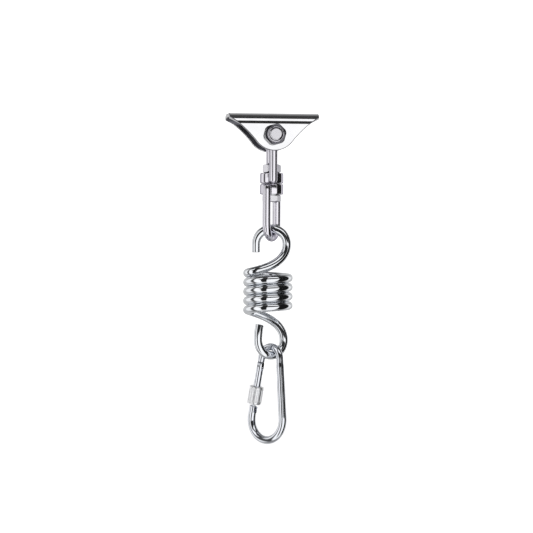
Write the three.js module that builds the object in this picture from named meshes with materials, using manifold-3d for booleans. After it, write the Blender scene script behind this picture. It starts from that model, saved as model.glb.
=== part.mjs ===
// Hanging kit for a punch bag: a ceiling bracket with a pivot, a ball-bearing swivel,
// an extension spring and a screw-lock carabiner.
// Millimetres, +Z up. The origin is the middle of the bracket's top face, which goes against the
// ceiling, so everything hangs below Z = 0. X runs along the bracket, Y along its pivot bolt.
import * as THREE from 'three';
import { mergeVertices } from 'three/addons/utils/BufferGeometryUtils.js';
import Module from 'manifold-3d';

const wasm = await Module();
wasm.setup();

// ---- Driving dimensions -------------------------------------------------------------------------
const GAP = 0.3; // clearance between pieces that touch
const CUT_REACH = 4.5; // from a wire's middle to where a cutter is well past it
const DEG = Math.PI / 180;

const SHEET = 3; // bracket steel
const BRACKET_LENGTH = 72;
const BRACKET_DEPTH = 37;
const BEND_RADIUS = 8.8; // outside of the bend
const EAR_TIP_RADIUS = 18;
const EAR_DROP = 30;
const FLANK_SLOPE = 52; // degrees from level, where an ear's flank leaves the round tip
const FLANK_RUN = 14.8; // how far the flank's curve is drawn along that slope before it flares
const SCREW_HOLE_RADIUS = 4.25;
const SCREW_HOLE_X = 24;

const PIVOT_Z = -17.3;
const PIVOT_BOLT_RADIUS = 5; // M10
const PIVOT_NUT_ACROSS_FLATS = 16;
const PIVOT_NUT_HEIGHT = 7;
const PIVOT_NUT_TURN = 15; // degrees that the nut stopped at when it was tightened
const PIVOT_HEAD_HEIGHT = 6.4;
const PIVOT_BOLT_OVERHANG = 10.6; // past the front ear
const BOLT_EDGE = 0.7;
const COLLAR_RADIUS = 6.6; // the nut's collar, which holds its nylon ring
const COLLAR_TOP = 9.2; // from the nut's base
const NYLON_POCKET_RADIUS = 6.1;
const NYLON_POCKET = [6.6, 8.5]; // from the nut's base
const SPACER_RADIUS = 6.5;
const BUSH_RADIUS = 8.2;
const BARREL_RADIUS = 10.8;
const BUSH_FLANGE = 1; // thickness
const BUSH_FLANGE_REACH = 1.9; // past the bush's outside
const BUSH_MIDDLE_GAP = 0.5; // from the middle to each bush
const BARREL_EDGE = 0.8;

const BOW_ROD_RADIUS = 3.25;
const UPPER_BOW_HALF_WIDTH = 10.5; // from the middle to each leg's centre line
const LOWER_BOW_HALF_WIDTH = 11.1;
const ROD_END_EASE = 0.6; // how much of a rod's radius its rounded end takes
const HUB_RADIUS = 9.3;
const HUB_EDGE = 1.4;
const UPPER_HUB_TOP = -47.2;
const UPPER_HUB_BOTTOM = -55.7;
const LOWER_HUB_TOP = -56.1;
const LOWER_HUB_BOTTOM = -64.4;
const LOWER_BOW_TURN = 28; // degrees that the lower bow's plane is turned from the bolt's
const BOW_BEND_Z = -98.9; // centre line of the lower bow's bend

const SWIVEL_BOLT_RADIUS = 4; // M8
const SWIVEL_ACROSS_FLATS = 13;
const SWIVEL_NUT_HEIGHT = 6.4;
const SWIVEL_BOLT_OVERHANG = 1.2; // past its nut
const SWIVEL_HEAD_TOP = -65.1;
const SWIVEL_HEAD_HEIGHT = 5.2;
const RACE_THICKNESS = 1.2;
const RACE_INNER = 4.5;
const RACE_OUTER = 7.2;
const BALL_RADIUS = 1.1;
const BALL_COUNT = 10;
const CAGE_HALF_THICKNESS = 0.4;
const CAGE_MARGIN = 0.3; // from the races' inside and outside

const SPRING_WIRE_RADIUS = 3.5;
const COIL_RADIUS = 16.4; // centre line
const COIL_PITCH = 7.38;
const COIL_TURNS = 4;
const COIL_OFFSET = -2.6; // the coil sits a little to the left of its hooks
const COIL_TOP_Z = -127.3;
const HOOK_RADIUS = 12.4; // centre line of both hooks
const UPPER_HOOK_TURN = -14;
const LOWER_HOOK_TURN = 27;
const LOWER_HOOK_BOTTOM_Z = -193.2; // centre line
const HOOK_PULL = 19; // how far each hook's side runs straight on towards the coil
const COIL_PULL = 16; // how far the coil's ends run straight on towards the hooks
const UPPER_TIP_LENGTH = 6.6;
const LOWER_TIP_LENGTH = 12;
const LOWER_TIP_LEAN = 1.5; // inward at its end

const CARABINER_TURN = -48;
const CARABINER_WIRE_RADIUS = 3.15;
const CARABINER_TOP_RADIUS = 9.5; // centre line of the narrow end
const CARABINER_BOTTOM_RADIUS = 16.4; // centre line of the wide end
const CARABINER_BOTTOM_SHIFT = -3.5;
const CARABINER_LENGTH = 81; // over all
const GATE_PIVOT_DROP = 6; // from the narrow end's centre
const GATE_LENGTH = 35.6; // pivot to the tip of the gate
const GATE_RADIUS = 2.95;
const GATE_TIP_RADIUS = 1.4;
const GATE_TIP_LENGTH = 9.6;
const GATE_FORK_RADIUS = 3.1;
const NOSE_OVERLAP = 3.4; // how far the gate's tip reaches into the nose
const NOTCH_ROOM = 0.5; // round the gate's tip in the nose
const TONGUE_RADIUS = 2.5;
const TONGUE_THICKNESS = 2.3;
const SLOT_WIDTH = 2.9;
const PIN_RADIUS = 1;
const PLUNGER_RADIUS = 1;
const PLUNGER_LENGTH = 3.4;
const GATE_SPRING_RADIUS = 0.8;
const GATE_SPRING_WIRE = 0.18;
const PLUNGER_BORE_RADIUS = 1.3;
const PLUNGER_BORE_LENGTH = 9;
const SLEEVE_RADIUS = 5.6;
const SLEEVE_LENGTH = 14.4;
const SLEEVE_BORE_RADIUS = 3.48;
const SLEEVE_START = 16.6; // pivot to the sleeve's near end, unlocked
const SLEEVE_FLUTES = 12;
const FLUTE_RADIUS = 0.55;
const SLEEVE_RIM = 1.6; // plain at both ends
const SLEEVE_EDGE = 0.9;

// ---- Materials ----------------------------------------------------------------------------------
const finish = (color, roughness, metalness = 1) => () =>
  new THREE.MeshStandardMaterial({ color, roughness, metalness });
const polished = finish(0xd9d8dc, 0.08);
const plated = finish(0xc9cbd0, 0.18);
const blued = finish(0xc4c9d2, 0.12);
const satin = finish(0xdfe0e4, 0.35);
const bronze = finish(0xb08a4a, 0.4);
const nylon = finish(0x23252a, 0.55, 0);

// ---- Solids -------------------------------------------------------------------------------------
function solid(geometry) {
  const bare = geometry.clone();
  bare.deleteAttribute('normal');
  bare.deleteAttribute('uv');
  const merged = mergeVertices(bare, 1e-4);
  const index = merged.index.array;
  const kept = [];
  for (let i = 0; i < index.length; i += 3) {
    const [a, b, c] = index.slice(i, i + 3);
    if (a !== b && b !== c && c !== a) kept.push(a, b, c);
  }
  return new wasm.Manifold(new wasm.Mesh({
    numProp: 3,
    vertProperties: new Float32Array(merged.attributes.position.array),
    triVerts: new Uint32Array(kept),
  }));
}

function toGeometry(manifold) {
  const { vertProperties, triVerts } = manifold.getMesh();
  const geometry = new THREE.BufferGeometry();
  geometry.setAttribute('position', new THREE.BufferAttribute(vertProperties, 3));
  geometry.setIndex(new THREE.BufferAttribute(triVerts, 1));
  geometry.computeVertexNormals();
  return geometry;
}

const group = new THREE.Group();

function addNode(parent, name, shape, material) {
  const mesh = new THREE.Mesh(toGeometry(shape), material());
  mesh.name = name;
  parent.add(mesh);
  return mesh;
}

// A body turned about Z from a profile of [radius, z] points, counter-clockwise.
function turned(profile, segments = 24) {
  const points = profile.map(([r, z]) => new THREE.Vector2(r, z));
  return new THREE.LatheGeometry(points, segments).rotateX(Math.PI / 2);
}

const rod = (radius, low, high, segments = 20) =>
  turned([[0, low], [radius, low], [radius, high], [0, high]], segments);

function roundedRod(radius, low, high, edge, segments = 24) {
  const k = edge * (1 - Math.SQRT1_2);
  const half = [[radius - edge, low], [radius - k, low + k], [radius, low + edge]];
  const other = half.map(([r, z]) => [r, low + high - z]).reverse();
  return turned([[0, low], ...half, ...other, [0, high]], segments);
}

const ring = (inner, outer, low, high, segments = 24) =>
  turned([[inner, low], [outer, low], [outer, high], [inner, high], [inner, low]], segments);

// A hexagon prism along Z with chamfered corners. Its corners are on X, or turned from it in degrees.
function hexagon(acrossFlats, low, high, turn = 0) {
  const corner = acrossFlats / Math.sqrt(3);
  const prism = new THREE.CylinderGeometry(corner, corner, high - low, 6)
    .rotateX(Math.PI / 2)
    .rotateZ(Math.PI / 2 + turn * DEG)
    .translate(0, 0, (low + high) / 2);
  const cut = acrossFlats * 0.06;
  const edge = acrossFlats / 2;
  const dome = turned([
    [0, low], [edge, low], [corner + 0.1, low + cut], [corner + 0.1, high - cut], [edge, high], [0, high],
  ]);
  return solid(prism).intersect(solid(dome));
}

// The pivot's pieces are made along Z and laid along Y at the pivot's height, +Z becoming -Y.
const pivot = new THREE.Group();
pivot.position.z = PIVOT_Z;
pivot.rotation.x = Math.PI / 2;
group.add(pivot);
const alongPivot = (geometry) => geometry.rotateX(Math.PI / 2).translate(0, 0, PIVOT_Z);

// A round wire along a list of points on its centre line.
function wire(points, radius, steps, sides = 12) {
  const section = new THREE.Shape();
  for (let i = 0; i < sides; i++) {
    const angle = (2 * Math.PI * i) / sides;
    const [x, y] = [radius * Math.cos(angle), radius * Math.sin(angle)];
    if (i === 0) section.moveTo(x, y);
    else section.lineTo(x, y);
  }
  const extrudePath = new THREE.CatmullRomCurve3(points, false, 'centripetal');
  return solid(new THREE.ExtrudeGeometry(section, { steps, bevelEnabled: false, extrudePath }));
}

const along = (turn) => new THREE.Vector3(Math.cos(turn * DEG), Math.sin(turn * DEG), 0);

// Points of an arc in the upright plane that holds direction, from one angle to another.
function arc(centre, radius, direction, from, to, count) {
  const points = [];
  for (let i = 0; i <= count; i++) {
    const angle = (from + ((to - from) * i) / count) * DEG;
    const point = centre.clone().addScaledVector(direction, radius * Math.cos(angle));
    point.z += radius * Math.sin(angle);
    points.push(point);
  }
  return points;
}

// ---- Ceiling bracket ----------------------------------------------------------------------------
function makeBracket() {
  const half = BRACKET_DEPTH / 2;
  const flat = half - BEND_RADIUS;
  const inner = BEND_RADIUS - SHEET;
  const channel = new THREE.Shape();
  channel.moveTo(-half, -EAR_DROP - 1);
  channel.lineTo(-half + SHEET, -EAR_DROP - 1);
  channel.lineTo(-half + SHEET, -BEND_RADIUS);
  channel.absarc(-flat, -BEND_RADIUS, inner, Math.PI, Math.PI / 2, true);
  channel.lineTo(flat, -SHEET);
  channel.absarc(flat, -BEND_RADIUS, inner, Math.PI / 2, 0, true);
  channel.lineTo(half - SHEET, -EAR_DROP - 1);
  channel.lineTo(half, -EAR_DROP - 1);
  channel.lineTo(half, -BEND_RADIUS);
  channel.absarc(flat, -BEND_RADIUS, BEND_RADIUS, 0, Math.PI / 2, false);
  channel.lineTo(-flat, 0);
  channel.absarc(-flat, -BEND_RADIUS, BEND_RADIUS, Math.PI / 2, Math.PI, false);
  // the section stands in the YZ plane and runs along X
  const bent = new THREE.ExtrudeGeometry(channel, {
    depth: BRACKET_LENGTH, bevelEnabled: false, curveSegments: 6,
  });
  bent.rotateX(Math.PI / 2).rotateZ(Math.PI / 2).translate(-BRACKET_LENGTH / 2, 0, 0);

  // the ears' outline: a round tip and flanks that flare out to the corners
  const end = BRACKET_LENGTH / 2;
  const tipZ = EAR_TIP_RADIUS - EAR_DROP;
  const slope = FLANK_SLOPE * DEG;
  const flankX = EAR_TIP_RADIUS * Math.sin(slope);
  const flankZ = tipZ - EAR_TIP_RADIUS * Math.cos(slope);
  const pullX = flankX + FLANK_RUN * Math.cos(slope);
  const pullZ = flankZ + FLANK_RUN * Math.sin(slope);
  const outline = new THREE.Shape();
  outline.moveTo(end, 1);
  outline.lineTo(-end, 1);
  outline.lineTo(-end, -SHEET);
  outline.quadraticCurveTo(-pullX, pullZ, -flankX, flankZ);
  outline.absarc(0, tipZ, EAR_TIP_RADIUS, 1.5 * Math.PI - slope, 1.5 * Math.PI + slope, false);
  outline.quadraticCurveTo(pullX, pullZ, end, -SHEET);
  const ears = new THREE.ExtrudeGeometry(outline, {
    depth: BRACKET_DEPTH + 2, bevelEnabled: false, curveSegments: 12,
  });
  ears.rotateX(Math.PI / 2).translate(0, BRACKET_DEPTH / 2 + 1, 0);

  let bracket = solid(bent).intersect(solid(ears));
  const boltHole = rod(PIVOT_BOLT_RADIUS + GAP, -BRACKET_DEPTH, BRACKET_DEPTH);
  bracket = bracket.subtract(solid(alongPivot(boltHole)));
  for (const side of [-1, 1]) {
    const hole = rod(SCREW_HOLE_RADIUS, -SHEET - 1, 1).translate(side * SCREW_HOLE_X, 0, 0);
    bracket = bracket.subtract(solid(hole));
  }
  return bracket;
}

// ---- Pivot: everything is made along Z, front at +Z, then laid along the bolt ---------------------
const EAR_OUTER = BRACKET_DEPTH / 2;
const EAR_INNER = EAR_OUTER - SHEET;

function makePivotBolt() {
  const headTop = -EAR_OUTER - GAP;
  const head = hexagon(PIVOT_NUT_ACROSS_FLATS, headTop - PIVOT_HEAD_HEIGHT, headTop);
  const shank = roundedRod(
    PIVOT_BOLT_RADIUS, headTop - 1, EAR_OUTER + PIVOT_BOLT_OVERHANG, BOLT_EDGE);
  return head.add(solid(shank));
}

const NUT_BASE = EAR_OUTER + GAP;

function makePivotNut() {
  const bore = solid(rod(PIVOT_BOLT_RADIUS + GAP, NUT_BASE - 1, NUT_BASE + COLLAR_TOP + 1));
  const chamfer = 0.7;
  const collar = solid(turned([
    [0, NUT_BASE + 5],
    [COLLAR_RADIUS, NUT_BASE + 5],
    [COLLAR_RADIUS, NUT_BASE + COLLAR_TOP - chamfer],
    [COLLAR_RADIUS - chamfer, NUT_BASE + COLLAR_TOP],
    [0, NUT_BASE + COLLAR_TOP],
  ]));
  const [low, high] = NYLON_POCKET.map((height) => NUT_BASE + height);
  const pocket = solid(rod(NYLON_POCKET_RADIUS, low, high));
  return hexagon(PIVOT_NUT_ACROSS_FLATS, NUT_BASE, NUT_BASE + PIVOT_NUT_HEIGHT, PIVOT_NUT_TURN)
    .add(collar)
    .subtract(bore)
    .subtract(pocket);
}

function makeNutInsert() {
  const [low, high] = NYLON_POCKET.map((height) => NUT_BASE + height);
  return solid(ring(PIVOT_BOLT_RADIUS + GAP, NYLON_POCKET_RADIUS - GAP, low + GAP, high - GAP));
}

const makeSpacer = () =>
  solid(ring(PIVOT_BOLT_RADIUS + GAP, SPACER_RADIUS, GAP - EAR_INNER, EAR_INNER - GAP));

const BUSH_END = EAR_INNER - GAP; // outer face of a bush's flange
const BARREL_END = BUSH_END - BUSH_FLANGE - GAP;

function makeBush(side) {
  const bore = SPACER_RADIUS + GAP;
  const flange = BUSH_RADIUS + BUSH_FLANGE_REACH;
  const start = BUSH_MIDDLE_GAP;
  const profile = [
    [bore, start],
    [BUSH_RADIUS, start],
    [BUSH_RADIUS, BUSH_END - BUSH_FLANGE],
    [flange, BUSH_END - BUSH_FLANGE],
    [flange, BUSH_END],
    [bore, BUSH_END],
    [bore, start],
  ];
  const bush = turned(profile);
  if (side < 0) bush.rotateX(Math.PI);
  return solid(bush);
}

// ---- Swivel -------------------------------------------------------------------------------------
function makeUpperYoke() {
  const barrel = solid(alongPivot(roundedRod(BARREL_RADIUS, -BARREL_END, BARREL_END, BARREL_EDGE, 28)));
  const legTop = PIVOT_Z - BUSH_RADIUS / 2; // inside the bore, which cuts it off
  const bore = solid(alongPivot(rod(BUSH_RADIUS + GAP, -EAR_INNER, EAR_INNER, 24)));
  const hub = solid(roundedRod(HUB_RADIUS, UPPER_HUB_BOTTOM, UPPER_HUB_TOP, HUB_EDGE, 28));
  let yoke = barrel.add(hub);
  for (const side of [-1, 1]) {
    const leg = roundedRod(
      BOW_ROD_RADIUS, UPPER_HUB_BOTTOM, legTop, BOW_ROD_RADIUS * ROD_END_EASE, 12);
    yoke = yoke.add(solid(leg.translate(0, side * UPPER_BOW_HALF_WIDTH, 0)));
  }
  const boltHole = rod(SWIVEL_BOLT_RADIUS + GAP, UPPER_HUB_BOTTOM - 1, UPPER_HUB_TOP + 1);
  return yoke.subtract(bore).subtract(solid(boltHole));
}

const BEARING_SEAT_Z = SWIVEL_HEAD_TOP + 2 * RACE_THICKNESS + 2 * BALL_RADIUS + 4 * GAP;
const bowDirection = along(90 - LOWER_BOW_TURN);

function makeLowerYoke() {
  const hub = solid(roundedRod(HUB_RADIUS, LOWER_HUB_BOTTOM, LOWER_HUB_TOP, HUB_EDGE, 28));
  const centre = new THREE.Vector3(0, 0, BOW_BEND_Z + LOWER_BOW_HALF_WIDTH);
  const points = arc(centre, LOWER_BOW_HALF_WIDTH, bowDirection, 180, 360, 14);
  const tops = [-1, 1].map((side) => {
    const top = bowDirection.clone().multiplyScalar(side * LOWER_BOW_HALF_WIDTH);
    top.z = LOWER_HUB_TOP - 0.6;
    return top;
  });
  const legs = [-1, 1].map((side, i) => [0.25, 0.5, 0.75, 0.97].map((t) => {
    const foot = bowDirection.clone().multiplyScalar(side * LOWER_BOW_HALF_WIDTH).setZ(centre.z);
    return tops[i].clone().lerp(foot, t);
  }));
  const path = [tops[0], ...legs[0], ...points, ...legs[1].reverse(), tops[1]];
  const bow = wire(path, BOW_ROD_RADIUS, 36, 12);
  const seat = solid(rod(RACE_OUTER + GAP, LOWER_HUB_BOTTOM - 1, BEARING_SEAT_Z, 24));
  const boltHole = solid(rod(SWIVEL_BOLT_RADIUS + GAP, LOWER_HUB_BOTTOM - 1, LOWER_HUB_TOP + 1));
  return hub.add(bow).subtract(seat).subtract(boltHole);
}

function makeSwivelBolt() {
  const head = hexagon(SWIVEL_ACROSS_FLATS, SWIVEL_HEAD_TOP - SWIVEL_HEAD_HEIGHT, SWIVEL_HEAD_TOP);
  const end = UPPER_HUB_TOP + GAP + SWIVEL_NUT_HEIGHT + SWIVEL_BOLT_OVERHANG;
  return head.add(solid(roundedRod(SWIVEL_BOLT_RADIUS, SWIVEL_HEAD_TOP - 1, end, BOLT_EDGE, 20)));
}

function makeSwivelNut() {
  const base = UPPER_HUB_TOP + GAP;
  const bore = rod(SWIVEL_BOLT_RADIUS + GAP, base - 1, base + SWIVEL_NUT_HEIGHT + 1);
  return hexagon(SWIVEL_ACROSS_FLATS, base, base + SWIVEL_NUT_HEIGHT).subtract(solid(bore));
}

function makeBallCage() {
  const middle = SWIVEL_HEAD_TOP + GAP + RACE_THICKNESS + GAP + BALL_RADIUS;
  const [low, high] = [middle - CAGE_HALF_THICKNESS, middle + CAGE_HALF_THICKNESS];
  let cage = solid(ring(RACE_INNER + CAGE_MARGIN, RACE_OUTER - CAGE_MARGIN, low, high));
  const track = (RACE_INNER + RACE_OUTER) / 2;
  for (let i = 0; i < BALL_COUNT; i++) {
    const angle = (2 * Math.PI * i) / BALL_COUNT;
    const ball = new THREE.SphereGeometry(BALL_RADIUS, 8, 5).rotateX(Math.PI / 2);
    cage = cage.add(solid(ball.translate(track * Math.cos(angle), track * Math.sin(angle), middle)));
  }
  return cage;
}

const makeRace = (low) => solid(ring(RACE_INNER, RACE_OUTER, low, low + RACE_THICKNESS));

// ---- Spring -------------------------------------------------------------------------------------
const upperHookDirection = along(UPPER_HOOK_TURN);
const lowerHookDirection = along(LOWER_HOOK_TURN);
const HOOK_TOP_Z = BOW_BEND_Z + BOW_ROD_RADIUS + SPRING_WIRE_RADIUS + GAP;
const coilBottomZ = COIL_TOP_Z - COIL_TURNS * COIL_PITCH;

// A point of the helix, turns counted down from its top on the coil's left side.
function coilPoint(turns) {
  const angle = Math.PI - 2 * Math.PI * turns;
  return new THREE.Vector3(
    COIL_OFFSET + COIL_RADIUS * Math.cos(angle),
    COIL_RADIUS * Math.sin(angle),
    COIL_TOP_Z - COIL_PITCH * turns,
  );
}

function bezier(start, startPull, end, endPull, count) {
  const curve = new THREE.CubicBezierCurve3(
    start, start.clone().add(startPull), end.clone().add(endPull), end);
  return curve.getPoints(count);
}

const coilLead = new THREE.Vector3(0, 1, -COIL_PITCH / (2 * Math.PI * COIL_RADIUS)).normalize();

function upperHookPoints() {
  const centre = new THREE.Vector3(0, 0, HOOK_TOP_Z - HOOK_RADIUS);
  const tip = centre.clone().addScaledVector(upperHookDirection, -HOOK_RADIUS);
  const rightEnd = centre.clone().addScaledVector(upperHookDirection, HOOK_RADIUS);
  const down = new THREE.Vector3(0, 0, -HOOK_PULL);
  return [
    tip.clone().setZ(centre.z - UPPER_TIP_LENGTH),
    tip.clone().setZ(centre.z - UPPER_TIP_LENGTH / 2),
    ...arc(centre, HOOK_RADIUS, upperHookDirection, 180, 0, 14),
    ...bezier(rightEnd, down, coilPoint(0), coilLead.clone().multiplyScalar(-COIL_PULL), 14).slice(1),
  ];
}

function lowerHookPoints() {
  const centre = new THREE.Vector3(0, 0, LOWER_HOOK_BOTTOM_Z + HOOK_RADIUS);
  const rightEnd = centre.clone().addScaledVector(lowerHookDirection, HOOK_RADIUS);
  const up = new THREE.Vector3(0, 0, HOOK_PULL);
  const tip = [0.35, 0.7, 1].map((t) => {
    const inward = LOWER_TIP_LEAN * t * t;
    const point = centre.clone().addScaledVector(lowerHookDirection, inward - HOOK_RADIUS);
    point.z += LOWER_TIP_LENGTH * t;
    return point;
  });
  const pull = coilLead.clone().multiplyScalar(COIL_PULL);
  return [
    ...bezier(coilPoint(COIL_TURNS), pull, rightEnd, up, 14),
    ...arc(centre, HOOK_RADIUS, lowerHookDirection, 0, -180, 14).slice(1),
    ...tip,
  ];
}

const coilPoints = Array.from({ length: COIL_TURNS * 16 - 1 }, (_, i) => coilPoint((i + 1) / 16));

// The spring is one wire. It is parted across the coil's first and last turn, on the left side,
// into the stretches that stay with each hook and the coil that stretches between them.
function makeSpringParts() {
  const path = [...upperHookPoints(), ...coilPoints, ...lowerHookPoints()];
  let spring = wire(path, SPRING_WIRE_RADIUS, 190, 10);
  for (const z of [COIL_TOP_Z, coilBottomZ]) {
    const cut = new THREE.BoxGeometry(COIL_RADIUS, GAP, COIL_PITCH - 0.1);
    spring = spring.subtract(solid(cut.translate(COIL_OFFSET - COIL_RADIUS, 0, z)));
  }
  const height = (part) => part.boundingBox().max[2];
  return spring.decompose().sort((a, b) => height(b) - height(a));
}

// ---- Carabiner: made in its own upright plane, x away from the gate, then turned --------------------
const upright = new THREE.Vector3(1, 0, 0);
const carabinerTopZ = LOWER_HOOK_BOTTOM_Z + SPRING_WIRE_RADIUS + CARABINER_WIRE_RADIUS + GAP;
const narrowCentre = new THREE.Vector3(0, 0, carabinerTopZ - CARABINER_TOP_RADIUS);
const wideCentre = new THREE.Vector3(
  CARABINER_BOTTOM_SHIFT, 0,
  carabinerTopZ - CARABINER_LENGTH + 2 * CARABINER_WIRE_RADIUS + CARABINER_BOTTOM_RADIUS);

// Both sides are straight lines that touch the two end circles. The angle, in degrees, at which
// each line leaves them, measured at their centres.
const centres = wideCentre.clone().sub(narrowCentre);
const axisAngle = Math.atan2(centres.z, centres.x) / DEG;
const spread = Math.acos((CARABINER_TOP_RADIUS - CARABINER_BOTTOM_RADIUS) / centres.length()) / DEG;
const spineAngle = axisAngle + spread;
const gateAngle = axisAngle - spread;

function onCircle(centre, radius, angle) {
  const a = angle * DEG;
  return new THREE.Vector3(centre.x + radius * Math.cos(a), 0, centre.z + radius * Math.sin(a));
}

const gateTop = onCircle(narrowCentre, CARABINER_TOP_RADIUS, gateAngle);
const gateBottom = onCircle(wideCentre, CARABINER_BOTTOM_RADIUS, gateAngle);
const gateLine = gateBottom.clone().sub(gateTop).normalize();
const pivotDistance = (narrowCentre.z - GATE_PIVOT_DROP - gateTop.z) / gateLine.z;
const gatePivot = gateTop.clone().addScaledVector(gateLine, pivotDistance);
// the pitch of the gate's line from straight down, about the carabiner's normal
const gateTilt = Math.atan2(-gateLine.x, -gateLine.z);

// From a frame with the gate's pivot at the origin and the gate hanging straight down.
const gateFrame = new THREE.Matrix4()
  .makeTranslation(gatePivot.x, gatePivot.y, gatePivot.z)
  .multiply(new THREE.Matrix4().makeRotationY(gateTilt));
const placed = (geometry) => solid(geometry.applyMatrix4(gateFrame));

const carabiner = new THREE.Group();
carabiner.rotation.z = CARABINER_TURN * DEG;
group.add(carabiner);
const gateParts = new THREE.Group();
gateParts.position.copy(gatePivot);
gateParts.rotation.y = gateTilt;
carabiner.add(gateParts);

const NOSE_START = GATE_LENGTH - NOSE_OVERLAP; // pivot to the nose's end
const SHOULDER = GATE_FORK_RADIUS + GAP + 0.15; // pivot to where the full wire starts

function makeCarabinerBody() {
  const lineUp = gatePivot.clone().addScaledVector(gateLine, -1);
  const noseEnd = gatePivot.clone().addScaledVector(gateLine, NOSE_START);
  const spineTop = onCircle(narrowCentre, CARABINER_TOP_RADIUS, spineAngle);
  const spineBottom = onCircle(wideCentre, CARABINER_BOTTOM_RADIUS, spineAngle);
  const spine = [0.12, 0.3, 0.5, 0.7, 0.88].map((t) => spineTop.clone().lerp(spineBottom, t));
  const path = [
    lineUp,
    lineUp.clone().lerp(gateTop, 0.55),
    ...arc(narrowCentre, CARABINER_TOP_RADIUS, upright, gateAngle + 360, spineAngle, 16),
    ...spine,
    ...arc(wideCentre, CARABINER_BOTTOM_RADIUS, upright, spineAngle, gateAngle, 18),
    gateBottom.clone().lerp(noseEnd, 0.5),
    noseEnd,
  ];
  const loop = wire(path, CARABINER_WIRE_RADIUS, 76, 12);

  // the wire ends in a flat tongue with a round end and the pin's hole
  const tongue = new THREE.Shape();
  const tongueTop = 2 * GATE_FORK_RADIUS; // inside the wire
  tongue.moveTo(-TONGUE_RADIUS, tongueTop);
  tongue.absarc(0, 0, TONGUE_RADIUS, Math.PI, 2 * Math.PI, false);
  tongue.lineTo(TONGUE_RADIUS, tongueTop);
  const flat = new THREE.ExtrudeGeometry(tongue, {
    depth: TONGUE_THICKNESS, bevelEnabled: false, curveSegments: 10,
  });
  flat.rotateX(Math.PI / 2).translate(0, TONGUE_THICKNESS / 2, 0);
  const clearing = new THREE.BoxGeometry(2 * CUT_REACH, 2 * CUT_REACH, 2 * SHOULDER);
  const pinHole = rod(PIN_RADIUS + GAP, -CUT_REACH, CUT_REACH, 16).rotateX(Math.PI / 2);

  // the nose is notched on its inner side for the gate's tip
  const room = GATE_TIP_RADIUS + NOTCH_ROOM;
  const notchFloor = GATE_LENGTH + GATE_TIP_RADIUS + 2 * GAP;
  const notchDepth = notchFloor - NOSE_START + 1;
  const notch = new THREE.BoxGeometry(room + CUT_REACH, 2 * room, notchDepth)
    .translate((CUT_REACH - room) / 2, 0, notchDepth / 2 - notchFloor);
  return loop
    .subtract(placed(clearing))
    .add(placed(flat))
    .subtract(placed(pinHole))
    .subtract(placed(notch));
}

function makeGate() {
  const threadEnd = GATE_LENGTH - GATE_TIP_LENGTH;
  const shaft = solid(rod(GATE_RADIUS, -threadEnd, GATE_FORK_RADIUS + 1));
  const side = new THREE.Shape();
  side.moveTo(-CUT_REACH, -GATE_LENGTH);
  side.lineTo(CUT_REACH, -GATE_LENGTH);
  side.lineTo(CUT_REACH, 0);
  side.absarc(0, 0, GATE_FORK_RADIUS, 0, Math.PI, false);
  side.lineTo(-CUT_REACH, 0);
  const rounding = new THREE.ExtrudeGeometry(side, {
    depth: 2 * CUT_REACH, bevelEnabled: false, curveSegments: 12,
  });
  rounding.rotateX(Math.PI / 2).translate(0, CUT_REACH, 0);
  let gate = shaft.intersect(solid(rounding));
  gate = gate.add(solid(rod(GATE_TIP_RADIUS, -GATE_LENGTH, -threadEnd + 1, 16)));
  const foot = rod(GATE_TIP_RADIUS + 0.05, -GATE_TIP_RADIUS, GATE_TIP_RADIUS, 12)
    .rotateX(Math.PI / 2)
    .translate(0, 0, -GATE_LENGTH);
  gate = gate.add(solid(foot));
  const slotDepth = GATE_FORK_RADIUS + GAP;
  const slot = new THREE.BoxGeometry(2 * CUT_REACH, SLOT_WIDTH, 2 * CUT_REACH)
    .translate(0, 0, CUT_REACH - slotDepth);
  const pinHole = rod(PIN_RADIUS + GAP, -CUT_REACH, CUT_REACH, 16).rotateX(Math.PI / 2);
  const bore = rod(PLUNGER_BORE_RADIUS, -slotDepth - PLUNGER_BORE_LENGTH, -slotDepth + 1, 16);
  return gate.subtract(solid(slot)).subtract(solid(pinHole)).subtract(solid(bore));
}

function makeGatePin() {
  const pin = rod(PIN_RADIUS, -GATE_RADIUS + 0.3, GATE_RADIUS - 0.3, 16).rotateX(Math.PI / 2);
  return solid(pin);
}

const PLUNGER_TOP = -(GATE_FORK_RADIUS + 0.1);

function makePlunger() {
  return solid(roundedRod(PLUNGER_RADIUS, PLUNGER_TOP - PLUNGER_LENGTH, PLUNGER_TOP, PLUNGER_RADIUS / 2, 16));
}

function makeGateSpring() {
  const top = PLUNGER_TOP - PLUNGER_LENGTH - GAP - GATE_SPRING_WIRE;
  const bottom = -(GATE_FORK_RADIUS + GAP + PLUNGER_BORE_LENGTH) + GAP + GATE_SPRING_WIRE;
  const turns = 5;
  const points = Array.from({ length: turns * 10 + 1 }, (_, i) => {
    const angle = (2 * Math.PI * i) / 10;
    const z = top + ((bottom - top) * i) / (turns * 10);
    return new THREE.Vector3(
      GATE_SPRING_RADIUS * Math.cos(angle), GATE_SPRING_RADIUS * Math.sin(angle), z);
  });
  return wire(points, GATE_SPRING_WIRE, turns * 9, 5);
}

function makeSleeve() {
  const [low, high] = [-SLEEVE_START - SLEEVE_LENGTH, -SLEEVE_START];
  const sleeve = solid(roundedRod(SLEEVE_RADIUS, low, high, SLEEVE_EDGE, 24));
  let bored = sleeve.subtract(solid(rod(SLEEVE_BORE_RADIUS, low - 1, high + 1, 24)));
  for (let i = 0; i < SLEEVE_FLUTES; i++) {
    const angle = (2 * Math.PI * i) / SLEEVE_FLUTES;
    const flute = rod(FLUTE_RADIUS, low + SLEEVE_RIM, high - SLEEVE_RIM, 8);
    flute.translate(SLEEVE_RADIUS * Math.cos(angle), SLEEVE_RADIUS * Math.sin(angle), 0);
    bored = bored.subtract(solid(flute));
  }
  return bored;
}

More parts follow.
